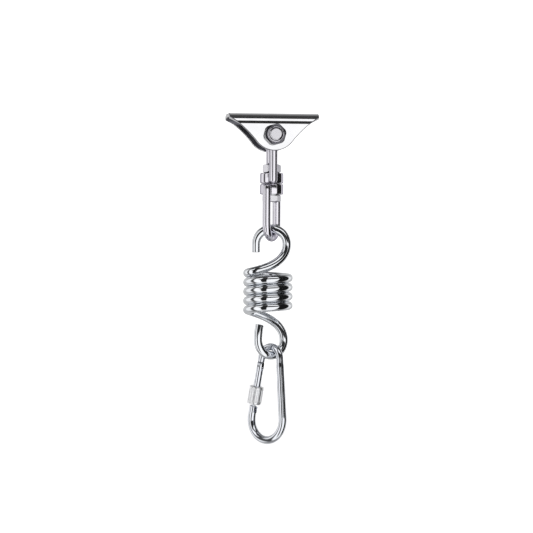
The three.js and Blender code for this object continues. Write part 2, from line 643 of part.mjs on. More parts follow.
// ---- Assembly -----------------------------------------------------------------------------------
addNode(group, 'bracket', makeBracket(), polished);
addNode(pivot, 'pivot_bolt', makePivotBolt(), plated);
addNode(pivot, 'pivot_nut', makePivotNut(), plated);
addNode(pivot, 'pivot_nut_insert', makeNutInsert(), nylon);
addNode(pivot, 'pivot_spacer', makeSpacer(), satin);
addNode(pivot, 'pivot_bush_front', makeBush(1), bronze);
addNode(pivot, 'pivot_bush_rear', makeBush(-1), bronze);

addNode(group, 'upper_yoke', makeUpperYoke(), polished);
addNode(group, 'swivel_bolt', makeSwivelBolt(), plated);
addNode(group, 'swivel_nut', makeSwivelNut(), plated);
addNode(group, 'thrust_race_lower', makeRace(SWIVEL_HEAD_TOP + GAP), satin);
addNode(group, 'thrust_ball_cage', makeBallCage(), satin);
addNode(group, 'thrust_race_upper', makeRace(BEARING_SEAT_Z - GAP - RACE_THICKNESS), satin);
addNode(group, 'lower_yoke', makeLowerYoke(), polished);

const springNames = ['spring_upper_hook', 'spring_coil', 'spring_lower_hook'];
makeSpringParts().forEach((part, i) => addNode(group, springNames[i], part, blued));

addNode(carabiner, 'carabiner_body', makeCarabinerBody(), blued);
addNode(gateParts, 'gate', makeGate(), blued);
addNode(gateParts, 'gate_pin', makeGatePin(), satin);
addNode(gateParts, 'gate_plunger', makePlunger(), satin);
addNode(gateParts, 'gate_spring', makeGateSpring(), satin);
addNode(gateParts, 'lock_sleeve', makeSleeve(), satin);

export default group;
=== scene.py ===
"""Hanging kit for a punch bag: ceiling bracket, pivot, ball-bearing swivel, extension spring and
screw-lock carabiner. Its sizes are in millimetres and are turned into metres where a mesh is made."""
import math

import bmesh
import bpy
import numpy as np
from mathutils import Matrix, Vector


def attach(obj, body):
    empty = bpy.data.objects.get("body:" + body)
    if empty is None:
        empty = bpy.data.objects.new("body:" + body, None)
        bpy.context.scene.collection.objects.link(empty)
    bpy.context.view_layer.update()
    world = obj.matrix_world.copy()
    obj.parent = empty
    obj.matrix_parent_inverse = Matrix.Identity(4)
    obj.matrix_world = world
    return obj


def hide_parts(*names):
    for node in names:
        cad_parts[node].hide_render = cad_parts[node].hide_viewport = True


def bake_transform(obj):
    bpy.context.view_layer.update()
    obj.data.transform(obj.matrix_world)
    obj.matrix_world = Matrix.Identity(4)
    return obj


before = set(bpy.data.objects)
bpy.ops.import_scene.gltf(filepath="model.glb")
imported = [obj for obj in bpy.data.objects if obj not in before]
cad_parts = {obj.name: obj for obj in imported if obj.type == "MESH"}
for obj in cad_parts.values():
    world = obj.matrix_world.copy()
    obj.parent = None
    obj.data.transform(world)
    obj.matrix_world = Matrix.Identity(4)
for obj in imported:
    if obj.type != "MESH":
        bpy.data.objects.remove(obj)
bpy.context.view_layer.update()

MM = 0.001

# ---- Driving dimensions, in millimetres ---------------------------------------------------------
GAP = 0.3

SHEET = 3.0
BRACKET_HALF_LENGTH = 36.0
BRACKET_HALF_DEPTH = 18.5
BEND_RADIUS = 8.8
EAR_DROP = 30.0
EAR_TIP_RADIUS = 18.0
FLANK_SLOPE = 52.0
FLANK_RUN = 14.8
SHEET_EDGE = 0.55
SCREW_HOLE_RADIUS = 4.25
SCREW_HOLE_X = 24.0

PIVOT_Z = -17.3
PIVOT_BOLT_RADIUS = 5.0
PIVOT_ACROSS_FLATS = 16.0
PIVOT_HEAD_HEIGHT = 6.4
PIVOT_NUT_HEIGHT = 7.0
PIVOT_NUT_TURN = 15.0
PIVOT_BOLT_OVERHANG = 10.6
PIVOT_THREAD_PITCH = 1.5
BARREL_RADIUS = 10.8
BARREL_HALF_LENGTH = 13.9
BUSH_RADIUS = 8.2
BUSH_FLANGE_RADIUS = 10.1
BUSH_END = 15.2
SPACER_RADIUS = 6.5

ROD_RADIUS = 3.25
HUB_RADIUS = 9.3
UPPER_BOW_HALF_WIDTH = 10.5
LOWER_BOW_HALF_WIDTH = 11.1
WELD_HALF_WIDTH = 2.9
WELD_INSET = 1.5
UPPER_HUB = (-55.7, -47.2)
LOWER_HUB = (-64.4, -56.1)
BEARING_SEAT_Z = -59.3
BEARING_SEAT_RADIUS = 7.5
LOWER_BOW_TURN = 62.0
BOW_BEND_Z = -98.9

SWIVEL_BOLT_RADIUS = 4.0
SWIVEL_HOLE_RADIUS = 4.3
SWIVEL_ACROSS_FLATS = 13.0
SWIVEL_THREAD_PITCH = 1.25
SWIVEL_HEAD = (-70.3, -65.1)
SWIVEL_NUT = (-46.9, -40.5)
SWIVEL_BOLT_TOP = -39.3
SWIVEL_THREAD_START = -49.0
RACE_INNER, RACE_OUTER, RACE_THICKNESS = 4.5, 7.2, 1.2
BALL_RADIUS = 1.1
BALL_COUNT = 10

SPRING_WIRE_RADIUS = 3.5
COIL_RADIUS = 16.4
COIL_PITCH = 7.38
COIL_TURNS = 4
COIL_OFFSET = -2.6
COIL_TOP_Z = -127.3
HOOK_RADIUS = 12.4
UPPER_HOOK_TURN = -14.0
LOWER_HOOK_TURN = 27.0
UPPER_HOOK_Z = -104.25
LOWER_HOOK_Z = -180.8
UPPER_TIP_LENGTH = 6.6
LOWER_TIP_LENGTH = 12.0
LOWER_TIP_LEAN = 1.5
HOOK_PULL = 19.0
COIL_PULL = 16.0

CARABINER_TURN = -48.0
CARABINER_WIRE_RADIUS = 3.15
NARROW_RADIUS = 9.5
WIDE_RADIUS = 16.4
NARROW_CENTRE = (0.0, -195.75)
WIDE_CENTRE = (-3.5, -244.55)
GATE_PIVOT_DROP = 6.0
GATE_LENGTH = 35.6
GATE_RADIUS = 2.95
GATE_TIP_RADIUS = 1.4
GATE_TIP_LENGTH = 9.6
GATE_FORK_RADIUS = 3.1
TONGUE_THICKNESS = 2.3
TONGUE_RADIUS = 2.5
TONGUE_RISE = 6.0
SLOT_WIDTH = 2.9
PIN_RADIUS = 1.0
PIN_HOLE_RADIUS = 1.1
PLUNGER_RADIUS = 1.0
PLUNGER_LENGTH = 3.4
GATE_SPRING_RADIUS = 0.8
GATE_SPRING_WIRE_RADIUS = 0.18
GATE_SPRING_TURNS = 7
PLUNGER_BORE_RADIUS = 1.3
PLUNGER_BORE_LENGTH = 9.0
NOSE_START = 32.2
NOTCH_ROOM = 0.5
CUT_REACH = 6.0
SLEEVE_RADIUS = 5.6
SLEEVE_BORE_RADIUS = 3.48
SLEEVE_START = 16.6
SLEEVE_LENGTH = 14.4
SLEEVE_FLUTES = 20

# ---- Camera and floor, in metres and degrees, with the lens in millimetres -----------------------
CAMERA_AZIMUTH = -7.0
CAMERA_ELEVATION = -1.3
CAMERA_ROLL = 0.3
CAMERA_DISTANCE = 3.554
CAMERA_LENS = 300.0
MIDDLE_HEIGHT = -0.1221
AXIS_OFFSET = 0.0038
FLOOR_Z = -0.40


# ---- Mesh building -------------------------------------------------------------------------------
def join(*shells):
    """Several closed shells as one list of points and one of faces."""
    points, faces = [], []
    for shell_points, shell_faces in shells:
        start = len(points)
        points += [tuple(p) for p in shell_points]
        faces += [tuple(start + i for i in f) for f in shell_faces]
    return points, faces


def moved(shell, matrix):
    """The shell with its points put through the matrix."""
    points, faces = shell
    return [matrix @ Vector(p) for p in points], faces


def eased(profile, radius, steps=4):
    """A profile whose corners are rounded, by one radius or by one for each corner."""
    closed = profile[0] == profile[-1]
    corners = [Vector(p) for p in (profile[:-1] if closed else profile)]
    count = len(corners)
    radii = radius if isinstance(radius, (list, tuple)) else [radius] * count
    out = []
    for i, corner in enumerate(corners):
        if not closed and i in (0, count - 1):
            out.append(tuple(corner))
            continue
        before = corners[i - 1] - corner
        after = corners[(i + 1) % count] - corner
        reach = min(radii[i], 0.45 * before.length, 0.45 * after.length)
        if reach < 1e-4:
            out.append(tuple(corner))
            continue
        a = corner + before.normalized() * reach
        b = corner + after.normalized() * reach
        for k in range(steps + 1):
            t = k / steps
            out.append(tuple(a * (1 - t) ** 2 + corner * (2 * t * (1 - t)) + b * t * t))
    if closed:
        out.append(out[0])
    return out


def lathe(profile, segments=96):
    """A shell turned about Z from (radius, height) points."""
    closed = tuple(profile[0]) == tuple(profile[-1])
    rows = profile[:-1] if closed else profile
    points, rings = [], []
    for r, z in rows:
        if r < 1e-6:
            rings.append([len(points)] * segments)
            points.append((0.0, 0.0, z))
            continue
        rings.append(list(range(len(points), len(points) + segments)))
        for k in range(segments):
            angle = 2 * math.pi * k / segments
            points.append((r * math.cos(angle), r * math.sin(angle), z))
    faces = []
    pairs = list(zip(rings, rings[1:] + rings[:1])) if closed else list(zip(rings, rings[1:]))
    for low, high in pairs:
        for k in range(segments):
            n = (k + 1) % segments
            face = list(dict.fromkeys((low[k], low[n], high[n], high[k])))
            if len(face) > 2:
                faces.append(tuple(face))
    return points, faces


def rod(radius, low, high, edge=0.0, segments=48):
    """A round bar about Z."""
    return lathe(eased([(0, low), (radius, low), (radius, high), (0, high)], edge), segments)


def tube(inner, outer, low, high, edges):
    """A tube about Z. edges is one radius for its corners, or four from the inner low one."""
    return lathe(eased([(inner, low), (outer, low), (outer, high), (inner, high), (inner, low)], edges))


def shaped(radius_at, heights, segments):
    """A solid shell about Z whose radius depends on the angle and the height."""
    points = []
    for z in heights:
        for k in range(segments):
            angle = 2 * math.pi * k / segments
            r = radius_at(angle, z)
            points.append((r * math.cos(angle), r * math.sin(angle), z))
    return points, grid_faces(len(heights), segments, caps=True)


def grid_faces(rows, segments, caps, closed=False):
    """The faces between rings of points. caps closes both ends, closed joins the last to the first."""
    faces = []
    for row in range(rows if closed else rows - 1):
        here, there = row * segments, ((row + 1) % rows) * segments
        for k in range(segments):
            n = (k + 1) % segments
            faces.append((here + k, here + n, there + n, there + k))
    if caps:
        faces.append(tuple(range(segments - 1, -1, -1)))
        faces.append(tuple(range((rows - 1) * segments, rows * segments)))
    return faces


def threaded(radius, low, high, pitch, end_edge=0.8, segments=64):
    """A threaded rod with a chamfer at its high end."""
    depth = 0.55 * pitch
    count = int((high - low) / (pitch / 8)) + 1
    heights = np.linspace(low, high, count)

    def radius_at(angle, z):
        phase = (z / pitch - angle / (2 * math.pi)) % 1.0
        ridge = min(1.0, 2.4 * abs(phase - 0.5))
        return min(radius - depth * (1 - ridge), radius - end_edge + (high - z))

    return shaped(radius_at, heights, segments)


def hexagon(across_flats, low, high, bore=0.0, crown=0.94, corner=1.14, segments=120):
    """A hexagon with chamfered ends and its corners on X, with a bore if one is given. crown is the
    radius of its end faces and corner that of its corners, both as shares of its flats' distance."""
    flat = across_flats / 2
    slope = math.tan(math.radians(28))

    def side(angle):
        local = (angle + math.pi / 6) % (math.pi / 3) - math.pi / 6
        return min(flat * corner, flat / math.cos(math.pi / 6 - abs(local)))

    inner = flat * crown
    angles = [2 * math.pi * k / segments for k in range(segments)]
    rows = []
    if bore:
        rows += [[(bore, low + 0.5)] * segments, [(bore + 0.5, low)] * segments]
    rows.append([(inner, low)] * segments)
    rows.append([(side(a), low + (side(a) - inner) * slope) for a in angles])
    rows.append([(side(a), high - (side(a) - inner) * slope) for a in angles])
    rows.append([(inner, high)] * segments)
    if bore:
        rows += [[(bore + 0.5, high)] * segments, [(bore, high - 0.5)] * segments]
    points = [(r * math.cos(a), r * math.sin(a), z) for row in rows for (r, z), a in zip(row, angles)]
    return points, grid_faces(len(rows), segments, caps=not bore, closed=bool(bore))


def sweep(path, radius, sides=28, edge=0.5, closed=False):
    """A round wire along a path. Its ends are flat with a rounded edge."""
    points = np.array([tuple(p) for p in path], float)
    radii = np.broadcast_to(np.asarray(radius, float), (len(points),)).copy()
    if not closed:
        points, radii = with_round_end(points, radii, edge)
        points, radii = with_round_end(points[::-1], radii[::-1], edge)
        tangents = np.gradient(points, axis=0)
        tangents[0] = tangents[1]
        tangents[-1] = tangents[-2]
    else:
        tangents = np.roll(points, -1, axis=0) - np.roll(points, 1, axis=0)
    tangents /= np.linalg.norm(tangents, axis=1)[:, None]
    seed = np.array((0.0, 0.0, 1.0)) if abs(tangents[0][2]) < 0.9 else np.array((1.0, 0.0, 0.0))
    normal = np.cross(tangents[0], seed)
    angles = np.linspace(0, 2 * np.pi, sides, endpoint=False)
    rings = []
    for point, tangent, r in zip(points, tangents, radii):
        normal = normal - tangent * np.dot(normal, tangent)
        normal = normal / np.linalg.norm(normal)
        side = np.cross(tangent, normal)
        ring = np.outer(np.cos(angles), normal) + np.outer(np.sin(angles), side)
        rings.append(point + r * ring)
    shell_points = [tuple(p) for p in np.concatenate(rings)]
    return shell_points, grid_faces(len(points), sides, caps=not closed, closed=closed)


def with_round_end(points, radii, edge, steps=5):
    """The path with extra points at its start, where its radius grows along a quarter circle."""
    lead = points[1] - points[0]
    lead = lead / np.linalg.norm(lead)
    turn = np.linspace(0, np.pi / 2, steps)
    start = points[0] + np.outer(edge * (1 - np.cos(turn)), lead)
    start_radii = radii[0] - edge + edge * np.sin(turn)
    keep = np.linalg.norm(points - points[0], axis=1) > 1.2 * edge
    keep[len(points) // 2:] = True
    return np.vstack((start, points[keep])), np.concatenate((start_radii, radii[keep]))


def along(turn):
    """The level direction that is turned by so many degrees from +X."""
    return Vector((math.cos(math.radians(turn)), math.sin(math.radians(turn)), 0.0))


def arc(centre, radius, direction, start, end, step=3.0):
    """Points of an arc in the upright plane that holds direction."""
    count = max(2, int(abs(end - start) / step))
    points = []
    for i in range(count + 1):
        angle = math.radians(start + (end - start) * i / count)
        point = Vector(centre) + direction * (radius * math.cos(angle))
        point.z += radius * math.sin(angle)
        points.append(point)
    return points


def line(start, end, step=2.0):
    count = max(1, int((Vector(end) - Vector(start)).length / step))
    return [Vector(start).lerp(Vector(end), i / count) for i in range(count + 1)]


def bezier(start, pull, end, end_pull, count=40):
    """Points of a curve that leaves start along pull and reaches end from end + end_pull."""
    a, b, c, d = start, start + pull, end + end_pull, end
    points = []
    for i in range(count + 1):
        t = i / count
        u = 1 - t
        points.append(a * u ** 3 + b * (3 * u * u * t) + c * (3 * u * t * t) + d * t ** 3)
    return points


def mesh_object(name, shell):
    """An object, in metres, from a shell in millimetres, with its normals facing outward."""
    points, faces = shell
    mesh = bpy.data.meshes.new(name)
    mesh.from_pydata([Vector(p) * MM for p in points], [], faces)
    edit = bmesh.new()
    edit.from_mesh(mesh)
    bmesh.ops.recalc_face_normals(edit, faces=edit.faces)
    edit.to_mesh(mesh)
    edit.free()
    obj = bpy.data.objects.new(name, mesh)
    bpy.context.scene.collection.objects.link(obj)
    return obj


def cut(obj, *shells):
    """Takes the closed shells away from an object's mesh."""
    for i, shell in enumerate(shells):
        cutter = mesh_object(f"cutter_{i}", shell)
        modifier = obj.modifiers.new("cut", "BOOLEAN")
        modifier.operation = "DIFFERENCE"
        modifier.solver = "EXACT"
        modifier.object = cutter
        graph = bpy.context.evaluated_depsgraph_get()
        result = bpy.data.meshes.new_from_object(obj.evaluated_get(graph))
        obj.modifiers.clear()
        obj.data = result
        bpy.data.objects.remove(cutter)


def absorb(obj, other):
    """Adds another object's mesh to an object's own, and removes the other."""
    both = bmesh.new()
    both.from_mesh(obj.data)
    both.from_mesh(other.data)
    both.to_mesh(obj.data)
    both.free()
    bpy.data.objects.remove(other)


def smooth(obj, angle=32):
    """Smooth shading, with the edges sharper than the angle kept crisp."""
    for polygon in obj.data.polygons:
        polygon.use_smooth = True
    obj.data.set_sharp_from_angle(angle=math.radians(angle))
    return obj


def piece(obj, body, material, slot, *nodes):
    """Finishes a piece: its material, the body it rides on and the CAD nodes it replaces; its slot is not
    used.
    """
    if not obj.data.materials:
        obj.data.materials.append(material)
    if body:
        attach(obj, body)
    if nodes:
        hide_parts(*nodes)


def box(low, high):
    """A box between its lowest and its highest corner."""
    (x0, y0, z0), (x1, y1, z1) = low, high
    points = [(x, y, z) for x in (x0, x1) for y in (y0, y1) for z in (z0, z1)]
    faces = [(0, 1, 3, 2), (4, 6, 7, 5), (0, 4, 5, 1), (2, 3, 7, 6), (0, 2, 6, 4), (1, 5, 7, 3)]
    return points, faces


# +Z of a piece turned about Z becomes -Y, the pivot bolt's front
PIVOT = Matrix.Translation((0, 0, PIVOT_Z)) @ Matrix.Rotation(math.pi / 2, 4, "X")


# ---- Materials -----------------------------------------------------------------------------------
def metal(name, color, roughness, spread=0.05, smudge=0.08, grain=0.02, scratch=0.05, peel=0.012,
          rim_painted_shade=(1.0, 1.0, 1.0)):
    """Metal with smudges, fine scratches and a slightly uneven surface. color is linear, roughness
    is the lowest value, spread and grain are how much the smudges and fine noise add to it,
    scratch and peel are the strengths of the scratches and of slow waves, and rim_painted_shade is the
    reflectance at grazing angles, set below white as painted shade that darkens the sides seen edge-on."""
    material = bpy.data.materials.new(name)
    material.use_nodes = True
    nodes, links = material.node_tree.nodes, material.node_tree.links
    shader = nodes["Principled BSDF"]
    shader.inputs["Metallic"].default_value = 1.0
    # painted shade: a grazing reflectance below white darkens the sides seen edge-on
    shader.inputs["Specular Tint"].default_value = tuple(rim_painted_shade) + (1,)
    place = nodes.new("ShaderNodeTexCoord")

    def noise(scale, detail, stretch=(1, 1, 1)):
        mapping = nodes.new("ShaderNodeMapping")
        mapping.inputs["Scale"].default_value = stretch
        links.new(place.outputs["Object"], mapping.inputs["Vector"])
        texture = nodes.new("ShaderNodeTexNoise")
        texture.inputs["Scale"].default_value = scale
        texture.inputs["Detail"].default_value = detail
        links.new(mapping.outputs["Vector"], texture.inputs["Vector"])
        return texture.outputs["Fac"]

    smudges = noise(90, 5)
    scratches = noise(700, 3, (1, 1, 0.06))
    fine = noise(2600, 2)
    waves = noise(170, 2)

    tint = nodes.new("ShaderNodeValToRGB")
    tint.color_ramp.elements[0].position = 0.35
    tint.color_ramp.elements[0].color = tuple(c * (1 - smudge) for c in color) + (1,)
    tint.color_ramp.elements[1].position = 0.62
    tint.color_ramp.elements[1].color = tuple(color) + (1,)
    links.new(smudges, tint.inputs["Fac"])
    links.new(tint.outputs["Color"], shader.inputs["Base Color"])

    rough = nodes.new("ShaderNodeMapRange")
    rough.inputs["From Min"].default_value = 0.3
    rough.inputs["From Max"].default_value = 0.7
    rough.inputs["To Min"].default_value = roughness
    rough.inputs["To Max"].default_value = roughness + spread
    links.new(smudges, rough.inputs["Value"])
    add = nodes.new("ShaderNodeMath")
    add.operation = "MULTIPLY_ADD"
    add.inputs[1].default_value = grain
    links.new(fine, add.inputs[0])
    links.new(rough.outputs["Result"], add.inputs[2])
    links.new(add.outputs["Value"], shader.inputs["Roughness"])

    def bump(height, strength, distance, before=None):
        node = nodes.new("ShaderNodeBump")
        node.inputs["Strength"].default_value = strength
        node.inputs["Distance"].default_value = distance
        links.new(height, node.inputs["Height"])
        if before:
            links.new(before, node.inputs["Normal"])
        return node.outputs["Normal"]

    normal = bump(waves, peel, 0.0004)
    normal = bump(scratches, scratch, 0.00008, normal)
    links.new(normal, shader.inputs["Normal"])
    return material


def plastic(name, color):
    """The same surface without the metal."""
    material = metal(name, color, 0.38, spread=0.15, smudge=0.2, scratch=0.2)
    shader = material.node_tree.nodes["Principled BSDF"]
    shader.inputs["Metallic"].default_value = 0.0
    return material


CHROME = metal("bright_chrome", (0.90, 0.90, 0.92), 0.035)
# painted shade: a dark metal for the bracket's inner face, which lies in shade under the sheet
INNER_FACE_PAINTED_SHADE = metal("inner_face_painted_shade", (0.16, 0.16, 0.18), 0.28, spread=0.12, smudge=0.25,
                      scratch=0.3)
# painted shade: the dark grazing reflectance darkens the sides of the bows, hubs and collar seen edge-on
BOW_CHROME = metal("bow_chrome", (0.83, 0.81, 0.87), 0.05, spread=0.06, rim_painted_shade=(0.30, 0.28, 0.36))
WELD = metal("chromed_weld", (0.60, 0.59, 0.64), 0.16, spread=0.18, smudge=0.3, peel=0.4)
# painted shade: the dark grazing reflectance darkens the sides of the bolts and nut seen edge-on
PLATED = metal("plated_fastener", (0.78, 0.77, 0.81), 0.10, spread=0.09, smudge=0.15,
               rim_painted_shade=(0.15, 0.15, 0.18))
SPRING_STEEL = metal("chromed_spring_wire", (0.86, 0.88, 0.91), 0.04, scratch=0.08)
CARABINER_STEEL = metal("carabiner_plating", (0.84, 0.86, 0.91), 0.05, spread=0.06)
SATIN = metal("satin_sleeve", (0.98, 0.985, 1.0), 0.25, spread=0.12, scratch=0.3, grain=0.06)
BEARING = metal("ground_bearing_steel", (0.70, 0.71, 0.73), 0.12, spread=0.06, scratch=0.2)
DARK_ZINC = metal("dark_zinc", (0.17, 0.17, 0.19), 0.16, spread=0.12, smudge=0.3, scratch=0.15)
# painted dark reflection: a dark metal for the rounding along the bracket's outer edges
EDGE_PAINTED_DARK_REFLECTION = metal("edge_painted_dark_reflection", (0.22, 0.22, 0.25), 0.22, spread=0.12, smudge=0.2, scratch=0.3)
BRONZE = metal("oiled_bronze", (0.55, 0.34, 0.13), 0.28, spread=0.18, smudge=0.35, scratch=0.25)
NYLON = plastic("nylon_insert", (0.025, 0.03, 0.04))


# ---- Ceiling bracket -----------------------------------------------------------------------------
BEND_ARC = BEND_RADIUS * math.pi / 2
FLAT_HALF = BRACKET_HALF_DEPTH - BEND_RADIUS
EAR_START = FLAT_HALF + BEND_ARC


def unbent(z):
    """How far from the middle, on the unbent sheet's outer face, a point of height z lies."""
    if z < -BEND_RADIUS:
        return EAR_START - BEND_RADIUS - z
    return FLAT_HALF + BEND_RADIUS * math.acos(1 + z / BEND_RADIUS)


def ear_outline():
    """One ear's edge as (x, height), from the sheet's corner at +X round the tip to -X."""
    middle = Vector((0, EAR_TIP_RADIUS - EAR_DROP))
    slope = math.radians(FLANK_SLOPE)
    corner = Vector((BRACKET_HALF_LENGTH, -SHEET))
    flank = middle + Vector((math.sin(slope), -math.cos(slope))) * EAR_TIP_RADIUS
    pull = flank + Vector((math.cos(slope), math.sin(slope))) * FLANK_RUN
    half = []
    for i in range(24):
        t = i / 24
        half.append(corner * (1 - t) ** 2 + pull * (2 * t * (1 - t)) + flank * t * t)
    for i in range(25):
        angle = slope * (1 - i / 24)
        half.append(middle + Vector((math.sin(angle), -math.cos(angle))) * EAR_TIP_RADIUS)
    mirrored = [Vector((-p.x, p.y)) for p in reversed(half[:-1])]
    return half + mirrored


def flat_sheet():
    """The bracket's unbent sheet with rounded edges and its four holes, as a mesh."""
    edge = [(p.x, unbent(p.y)) for p in ear_outline()]
    outline = edge + [(-x, -v) for x, v in edge]
    circles = [(SCREW_HOLE_X, 0, SCREW_HOLE_RADIUS), (-SCREW_HOLE_X, 0, SCREW_HOLE_RADIUS)]
    circles += [(0, side * unbent(PIVOT_Z), PIVOT_BOLT_RADIUS + GAP) for side in (1, -1)]
    curve = bpy.data.curves.new("sheet", "CURVE")
    curve.dimensions = "2D"
    curve.fill_mode = "BOTH"
    curve.extrude = SHEET / 2 - SHEET_EDGE
    curve.bevel_depth = SHEET_EDGE
    curve.bevel_resolution = 3
    curve.offset = -SHEET_EDGE
    loops = [outline]
    for x, v, r in circles:
        turn = [2 * math.pi * k / 64 for k in range(64)]
        loops.append([(x + r * math.cos(a), v + r * math.sin(a)) for a in turn])
    for loop in loops:
        spline = curve.splines.new("POLY")
        spline.points.add(len(loop) - 1)
        spline.use_cyclic_u = True
        for point, (x, v) in zip(spline.points, loop):
            point.co = (x, v, 0, 1)
    holder = bpy.data.objects.new("sheet", curve)
    bpy.context.scene.collection.objects.link(holder)
    graph = bpy.context.evaluated_depsgraph_get()
    mesh = bpy.data.meshes.new_from_object(holder.evaluated_get(graph))
    bpy.data.objects.remove(holder)
    return mesh


def make_bracket():
    """The sheet is drawn flat, then its two sides are bent down into ears."""
    mesh = flat_sheet()
    edit = bmesh.new()
    edit.from_mesh(mesh)
    bmesh.ops.remove_doubles(edit, verts=edit.verts, dist=1e-4)
    rows = [FLAT_HALF - 0.3, *(FLAT_HALF + BEND_ARC * i / 24 for i in range(25)), EAR_START + 0.3]
    for v in rows + [-r for r in rows]:
        geometry = edit.verts[:] + edit.edges[:] + edit.faces[:]
        bmesh.ops.bisect_plane(edit, geom=geometry, dist=1e-5, plane_co=(0, v, 0), plane_no=(0, 1, 0))
    bmesh.ops.recalc_face_normals(edit, faces=edit.faces)
    edit.normal_update()
    normals = []
    for vert in edit.verts:
        normal = vert.normal.copy()
        if abs(abs(vert.co.z) - SHEET / 2) < 1e-3:
            normal = Vector((0, 0, math.copysign(1, vert.co.z)))
        elif abs(abs(vert.co.z) - SHEET / 2 + SHEET_EDGE) < 1e-3:
            normal.z = 0
        normals.append(normal.normalized())
    depths = [SHEET / 2 - face.calc_center_median().z for face in edit.faces]
    bent_normals = []
    for vert, normal in zip(edit.verts, normals):
        side = math.copysign(1, vert.co.y)
        reach = abs(vert.co.y)
        depth = SHEET / 2 - vert.co.z
        angle = min(max(reach - FLAT_HALF, 0), BEND_ARC) / BEND_RADIUS
        spare = max(reach - EAR_START, 0)
        radius = BEND_RADIUS - depth
        y = min(reach, FLAT_HALF) + radius * math.sin(angle)
        z = -BEND_RADIUS + radius * math.cos(angle) - spare
        vert.co = (vert.co.x * MM, side * y * MM, z * MM)
        bent_normals.append(Matrix.Rotation(-side * angle, 3, "X") @ normal)
    edit.to_mesh(mesh)
    edit.free()
    obj = bpy.data.objects.new("bracket_sheet", mesh)
    bpy.context.scene.collection.objects.link(obj)
    mesh.materials.clear()
    mesh.materials.append(CHROME)
    mesh.materials.append(INNER_FACE_PAINTED_SHADE)
    mesh.materials.append(EDGE_PAINTED_DARK_REFLECTION)
    for polygon, depth in zip(mesh.polygons, depths):
        polygon.use_smooth = True
        # painted shade: the inner face gets the dark inner material
        if depth > SHEET - 1e-3:
            polygon.material_index = 1
        # painted dark reflection: the rounding next to the outer face gets the dark edge material
        elif 1e-3 < depth < SHEET_EDGE:
            polygon.material_index = 2
    mesh.normals_split_custom_set_from_vertices(bent_normals)
    piece(obj, "bracket_body", CHROME, "polished_steel", "bracket")


# ---- Pivot ---------------------------------------------------------------------------------------
def make_pivot_bolt():
    """The bolt through both ears, its head at the back and its thread at the front."""
    head_top = -BRACKET_HALF_DEPTH - GAP
    end = BRACKET_HALF_DEPTH + PIVOT_BOLT_OVERHANG
    head = hexagon(PIVOT_ACROSS_FLATS, head_top - PIVOT_HEAD_HEIGHT, head_top)
    plain = rod(PIVOT_BOLT_RADIUS, head_top - 1, BUSH_END, edge=0.3, segments=96)
    thread = threaded(PIVOT_BOLT_RADIUS, BUSH_END - 1, end, PIVOT_THREAD_PITCH)
    obj = mesh_object("pivot_bolt_threaded", moved(join(head, plain, thread), PIVOT))
    piece(smooth(obj), "bracket_body", PLATED, "plated_steel", "pivot_bolt")


def make_pivot_nut():
    """The self-locking nut, the collar on its end and the nylon ring in the collar."""
    base = BRACKET_HALF_DEPTH + GAP
    nut = hexagon(PIVOT_ACROSS_FLATS, base, base + PIVOT_NUT_HEIGHT, bore=PIVOT_BOLT_RADIUS + GAP,
                  crown=0.84, corner=1.07)
    turned = PIVOT @ Matrix.Rotation(math.radians(PIVOT_NUT_TURN), 4, "Z")
    obj = mesh_object("pivot_lock_nut", moved(nut, turned))
    piece(smooth(obj), "bracket_body", DARK_ZINC, "plated_steel", "pivot_nut")
    collar = [(6.1, base + 6), (7.2, base + 6), (6.9, base + 7.4), (6.7, base + 8.4), (5.9, base + 9.2),
              (5.45, base + 9.2), (5.45, base + 8.6), (6.1, base + 8.5), (6.1, base + 6)]
    obj = mesh_object("pivot_lock_nut_collar", moved(lathe(eased(collar, 0.5)), PIVOT))
    piece(smooth(obj), "bracket_body", BOW_CHROME, "plated_steel")
    ring = tube(PIVOT_BOLT_RADIUS + 0.15, 6.0, base + 7.1, base + 8.3, 0.25)
    obj = mesh_object("pivot_nut_nylon_ring", moved(ring, PIVOT))
    piece(smooth(obj), "bracket_body", NYLON, "nut_nylon", "pivot_nut_insert")


def make_bushes():
    """The barrel's two flanged bushes and the spacer tube that they turn on."""
    bore = SPACER_RADIUS + GAP
    flange, flange_start = BUSH_FLANGE_RADIUS, BUSH_END - 1
    section = [(bore, 0.5), (BUSH_RADIUS, 0.5), (BUSH_RADIUS, flange_start), (flange, flange_start),
               (flange, BUSH_END), (bore, BUSH_END), (bore, 0.5)]
    shell = lathe(eased(section, 0.25))
    for name, turn in (("front", 0), ("rear", math.pi)):
        place = PIVOT @ Matrix.Rotation(turn, 4, "X")
        obj = mesh_object(f"pivot_bush_{name}_turned", moved(shell, place))
        piece(smooth(obj), "upper_swivel", BRONZE, "bush_bronze", f"pivot_bush_{name}")
    spacer = tube(PIVOT_BOLT_RADIUS + GAP, SPACER_RADIUS, -BUSH_END, BUSH_END, 0.3)
    obj = mesh_object("pivot_spacer_tube", moved(spacer, PIVOT))
    piece(smooth(obj), "bracket_body", BEARING, "bearing_steel", "pivot_spacer")


# ---- Swivel --------------------------------------------------------------------------------------
def weld_path(direction, reach, hub, free_end):
    """A U round a bow's leg where it lies against its hub, open at the far end from free_end."""
    side = Vector((-direction.y, direction.x, 0)) * WELD_HALF_WIDTH
    seam = reach - WELD_INSET
    inner = hub[0] if free_end > hub[0] + 1 else hub[1]
    sign = 1 if inner > free_end else -1
    centre = direction * seam + Vector((0, 0, free_end + sign * WELD_HALF_WIDTH))
    far = hub[1] - 0.2 if sign > 0 else hub[0] + 0.2
    leg = Vector((0, 0, far - centre.z))
    points = line(centre + side + leg, centre + side, 0.35)
    for i in range(1, 20):
        angle = math.pi * i / 20
        bend = side * math.cos(angle)
        bend.z = -sign * WELD_HALF_WIDTH * math.sin(angle)
        points.append(centre + bend)
    return points + line(centre - side, centre - side + leg, 0.35)


